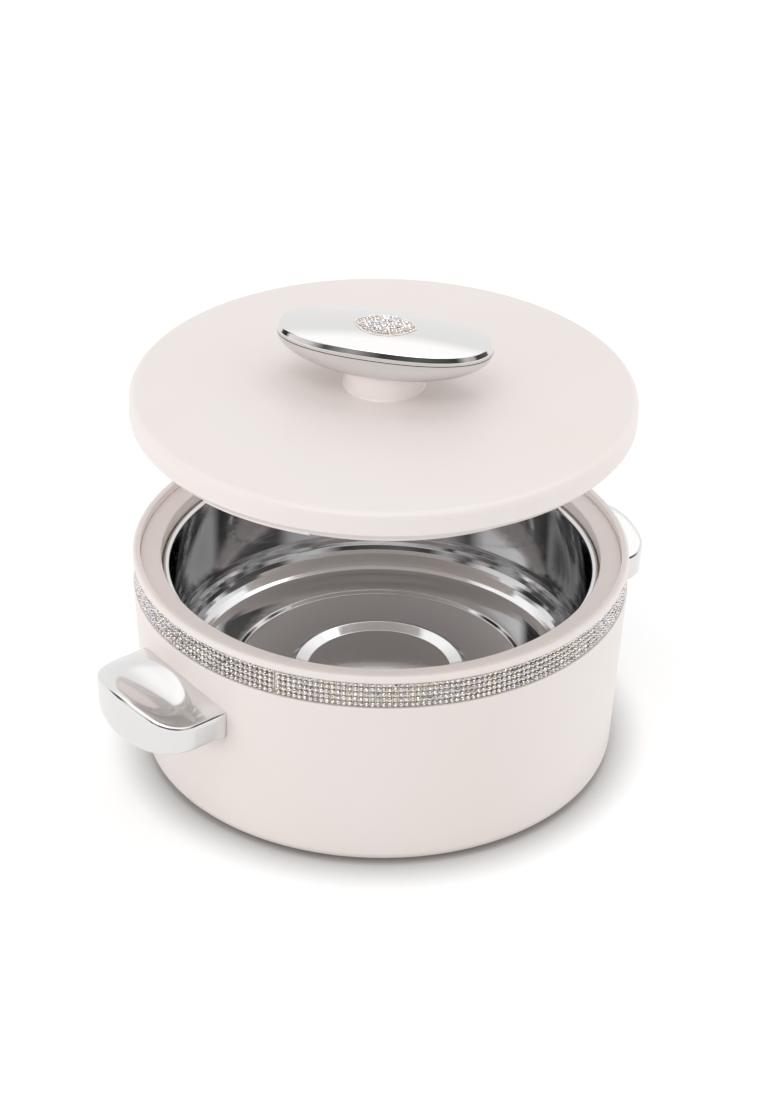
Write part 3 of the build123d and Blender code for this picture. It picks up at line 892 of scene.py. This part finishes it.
def make_knob_hull():
    foot_width = 2 * pedestal_radius
    foot_length = foot_width * knob_foot_stretch
    rings = []
    for k in range(hull_levels + 1):
        angle = pi / 2 * k / hull_levels
        length = foot_length + (knob_length - foot_length) * sin(angle)
        width = foot_width + (knob_width - foot_width) * sin(angle)
        height = knob_foot + (knob_depth - knob_seam) * (1 - cos(angle))
        rings.append([(*oval_point(i, length, width), height) for i in range(knob_steps)])
    rings.append([(x * 0.985, y * 0.965, z) for x, y, z in rings[-1]])
    points, faces = stacked(rings)
    points = on_knob(points)
    add_piece("knob_hull", points, faces, chrome, "lid", ["knob_base"], smooth=50.0)


def oval_ring(inset, height_of):
    """A ring of the knob's plan, inset all round, at heights given by a function of the place."""
    ring = []
    for i in range(knob_steps):
        x, y = oval_point(i, knob_length - 2 * inset, knob_width - 2 * inset)
        ring.append((x, y, height_of(x, y)))
    return ring


def make_knob_cover():
    low = knob_rim + knob_seam
    rings = [oval_ring(inset, lambda x, y: low + rise) for inset, rise in knob_edge_low]
    rings += [oval_ring(inset, lambda x, y: crown_height_at(x, y) - drop) for inset, drop in knob_edge_high]
    crown = rings[-1]
    for k in range(1, crown_rows):
        share = 1 - k / crown_rows
        rings.append([(x * share, y * share, crown_height_at(x * share, y * share)) for x, y, _ in crown])
    points, faces = stacked(rings)
    points = on_knob(points)
    add_piece("knob_cover", points, faces, chrome, "lid", ["knob_top"], smooth=24.0)


def make_pedestal():
    """A round stem whose flared foot starts just under the lid's surface."""
    foot = pedestal_radius + pedestal_flare
    points, faces = turned([
        (0, lid_top - 0.4),
        (foot, dome_height(foot) - 0.2),
        (pedestal_radius, lid_top + 0.8, 0.8),
        (pedestal_radius, knob_foot, pedestal_round),
        (0, knob_foot),
    ], lift=lid_seat, closed=False, steps=128)
    add_piece("pedestal", points, faces, ivory, "lid", ["knob_pedestal"])


def leaf_half_width(x, length, width):
    """Half width of a pointed leaf made of two arcs."""
    radius = (length**2 / 4 + width**2 / 4) / width
    return max(0.0, width / 2 - radius + sqrt(max(0.0, radius**2 - x**2)))


def leaf_ring(length, width, rise, count=48):
    """Outline of a pointed leaf, at a height above the knob's crown."""
    ring = []
    for side in (1, -1):
        for i in range(count):
            x = length / 2 * cos(pi * i / count) * side
            y = side * leaf_half_width(x, length, width)
            ring.append((x, y, crown_height_at(x, y) + rise))
    return ring


def make_leaf():
    """A thin-edged tray filled with small stones set close, each turned a little its own way."""
    inner = (leaf_length - 2 * leaf_point, leaf_width - 2 * leaf_bezel)
    rings = [
        leaf_ring(leaf_length, leaf_width, -0.6),
        leaf_ring(leaf_length, leaf_width, leaf_proud - 0.2),
        leaf_ring(leaf_length - 0.5, leaf_width - 0.4, leaf_proud),
        leaf_ring(inner[0] + 0.5, inner[1] + 0.4, leaf_proud),
        leaf_ring(*inner, leaf_proud - 0.2),
        leaf_ring(*inner, leaf_bed),
    ]
    points, faces = stacked(rings)
    row_height = leaf_pitch * sqrt(3) / 2
    seats = []
    for row in range(-6, 7):
        for i in range(-9, 10):
            x = (i + (row % 2) / 2) * leaf_pitch + chance.uniform(-leaf_scatter, leaf_scatter)
            y = row * row_height + chance.uniform(-leaf_scatter, leaf_scatter)
            radius = chance.uniform(*leaf_stone_radii)
            room = leaf_half_width(x, inner[0], inner[1])
            if abs(y) + radius * 0.8 > room or abs(x) + radius > inner[0] / 2:
                continue
            place = Vector((x, y, crown_height_at(x, y) + leaf_bed))
            seats.append((place, Vector((0, 0, 1)), Vector((0, 1, 0)), radius))
    (stones, cuts), (cups, walls) = set_stones(seats, leaf_tilt)
    start = len(points)
    points += [tuple(p) for p in cups]
    faces += [[start + n for n in wall] for wall in walls]
    points, stones = on_knob(points), on_knob(stones)
    add_piece("leaf_tray", points, faces, strip_metal, "lid", ["knob_inlay"], smooth=50.0)
    add_piece("leaf_set_stones", stones, cuts, stone, "lid", ["knob_stones"], smooth=0)


# Pieces that stay as the frame has them, inside and underneath

carried_over = {
    "body_foam": foam,
    "lid_foam": foam,
    "foam_plug": ivory,
    "lid_foam_plug": ivory,
    "base_cover": base_plastic,
    "base_screws": fastener_steel,
    "handle_screws": fastener_steel,
    "handle_washers": fastener_steel,
    "knob_screws": fastener_steel,
    "knob_washers": fastener_steel,
    "rubber_feet": rubber,
}


def dress_frame():
    for name, made in carried_over.items():
        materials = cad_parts[name].data.materials
        if not materials:
            materials.append(made)
        for i in range(len(materials)):
            materials[i] = made


# Floor, world and lamps

floor_albedo = 0.76
floor_glow = 0.36  # what the camera and mirrors see on top of the lit floor
floor_shadow = 0.72  # of the floor's colour where it meets the pot
shadow_reach = 0.03  # metres
shadow_range = (0.4, 0.9)  # openness of the floor at which the shadow is full, and at which it ends
floor_reach = 6.0  # metres from the middle to each side
fill_light = 0.76  # of the world on matt surfaces


def add_path_mask(nodes, links):
    """1 for rays from the camera and for rays that mirrors and clear pieces send on."""
    path = nodes.new("ShaderNodeLightPath").outputs
    mirrored = add_math(nodes, links, "MAXIMUM", path["Is Glossy Ray"], path["Is Transmission Ray"])
    return add_math(nodes, links, "MAXIMUM", path["Is Camera Ray"], mirrored)


def make_floor():
    """White, with a soft shadow painted where the pot stands: its colour and glow darken by how near the pot
    is.
    """
    made = bpy.data.materials.new("floor")
    made.use_nodes = True
    nodes, links = made.node_tree.nodes, made.node_tree.links
    nodes.remove(nodes["Principled BSDF"])
    # Painted shadow: ambient occlusion near the pot darkens the floor's colour towards the shade and dims
    # its glow.
    near = nodes.new("ShaderNodeAmbientOcclusion")
    near.samples = 16
    near.inputs["Distance"].default_value = shadow_reach
    clear = add_range(nodes, links, near.outputs["AO"], 0, 1, shadow_range)
    matt = nodes.new("ShaderNodeBsdfDiffuse")
    white = (floor_albedo,) * 3
    shade = tuple(floor_albedo * floor_shadow * c for c in (1.0, 0.985, 0.965))
    links.new(add_tint(nodes, links, clear, shade, white), matt.inputs["Color"])
    glow = nodes.new("ShaderNodeEmission")
    level = add_math(nodes, links, "MULTIPLY", add_path_mask(nodes, links), floor_glow)
    links.new(add_math(nodes, links, "MULTIPLY", level, clear), glow.inputs["Strength"])
    both = nodes.new("ShaderNodeAddShader")
    links.new(matt.outputs["BSDF"], both.inputs[0])
    links.new(glow.outputs["Emission"], both.inputs[1])
    links.new(both.outputs["Shader"], nodes["Material Output"].inputs["Surface"])
    mesh = bpy.data.meshes.new("floor")
    corners = [(x * floor_reach, y * floor_reach, 0) for x, y in ((-1, -1), (1, -1), (1, 1), (-1, 1))]
    mesh.from_pydata(corners, [], [[0, 1, 2, 3]])
    mesh.materials.append(made)
    floor = bpy.data.objects.new("floor", mesh)
    scene.collection.objects.link(floor)


studio_front = -127.0  # bearing of the studio's dark side, degrees from +X towards +Y
# What mirrors see near the horizon, by bearing from the studio's dark side, in whole turns
studio_walls = [
    (0.00, 1.00), (0.18, 1.00), (0.20, 0.04), (0.235, 0.04), (0.255, 0.95), (0.33, 0.75), (0.36, 0.08),
    (0.40, 0.42), (0.425, 0.05), (0.47, 0.13), (0.56, 0.05), (0.60, 0.60), (0.645, 0.50), (0.67, 0.06),
    (0.78, 0.12), (0.80, 1.00), (1.00, 1.00),
]
ceiling_light = 1.3
ceiling_edge = (0.60, 0.72)  # sine of the elevation over which the walls give way to the ceiling
lamp_target = (0, 0, 0.1)


def make_world():
    """White to the camera, a plain fill on matt surfaces, and a studio with a dark side in mirrors."""
    world = bpy.data.worlds.new("studio")
    scene.world = world
    world.use_nodes = True
    nodes, links = world.node_tree.nodes, world.node_tree.links
    place = nodes.new("ShaderNodeTexCoord").outputs["Generated"]
    split = nodes.new("ShaderNodeSeparateXYZ")
    turn = nodes.new("ShaderNodeVectorRotate")
    turn.rotation_type = "Z_AXIS"
    turn.inputs["Angle"].default_value = radians(-studio_front)
    links.new(place, turn.inputs["Vector"])
    links.new(turn.outputs["Vector"], split.inputs["Vector"])
    bearing = add_math(nodes, links, "ARCTAN2", split.outputs["Y"], split.outputs["X"])
    turns = add_math(nodes, links, "MULTIPLY_ADD", bearing, 1 / (2 * pi), 0.5)
    walls = add_ramp(nodes, links, turns, studio_walls)
    overhead = add_range(nodes, links, split.outputs["Z"], 0, 1, ceiling_edge)
    mirrored = add_tint(nodes, links, overhead, walls, (ceiling_light,) * 3)
    path = nodes.new("ShaderNodeLightPath").outputs
    matt = add_tint(nodes, links, path["Is Diffuse Ray"], mirrored, (fill_light,) * 3)
    seen = add_tint(nodes, links, path["Is Camera Ray"], matt, (1, 1, 1))
    links.new(seen, nodes["Background"].inputs["Color"])


def add_lamp(name, place, size, power, mirrored=True):
    """A round soft lamp aimed at the pot, in metres and watts, that mirrors may or may not show."""
    data = bpy.data.lights.new(name, "AREA")
    data.shape = "DISK"
    data.size = size
    data.energy = power
    lamp = bpy.data.objects.new(name, data)
    aim = (Vector(lamp_target) - Vector(place)).to_track_quat("-Z", "Y")
    lamp.matrix_world = Matrix.LocRotScale(Vector(place), aim, None)
    lamp.visible_glossy = mirrored
    scene.collection.objects.link(lamp)


make_pot_shell()
make_pot_collar()
make_steel_bowl()
make_band()
make_handles()
make_lid_cover()
make_lid_liner()
make_pedestal()
make_knob_hull()
make_knob_cover()
make_leaf()
dress_frame()
make_floor()
make_world()
add_lamp("key", (-0.9, -0.5, 2.2), 1.2, 5)
add_lamp("side", (0.9, 0.4, 2.2), 1.2, 3.5)
add_lamp("left", (-2.2, 0.2, 0.35), 1.0, 11, mirrored=False)
add_lamp("right", (1.3, -1.7, 0.35), 1.0, 8, mirrored=False)

scene.view_settings.view_transform = "Standard"
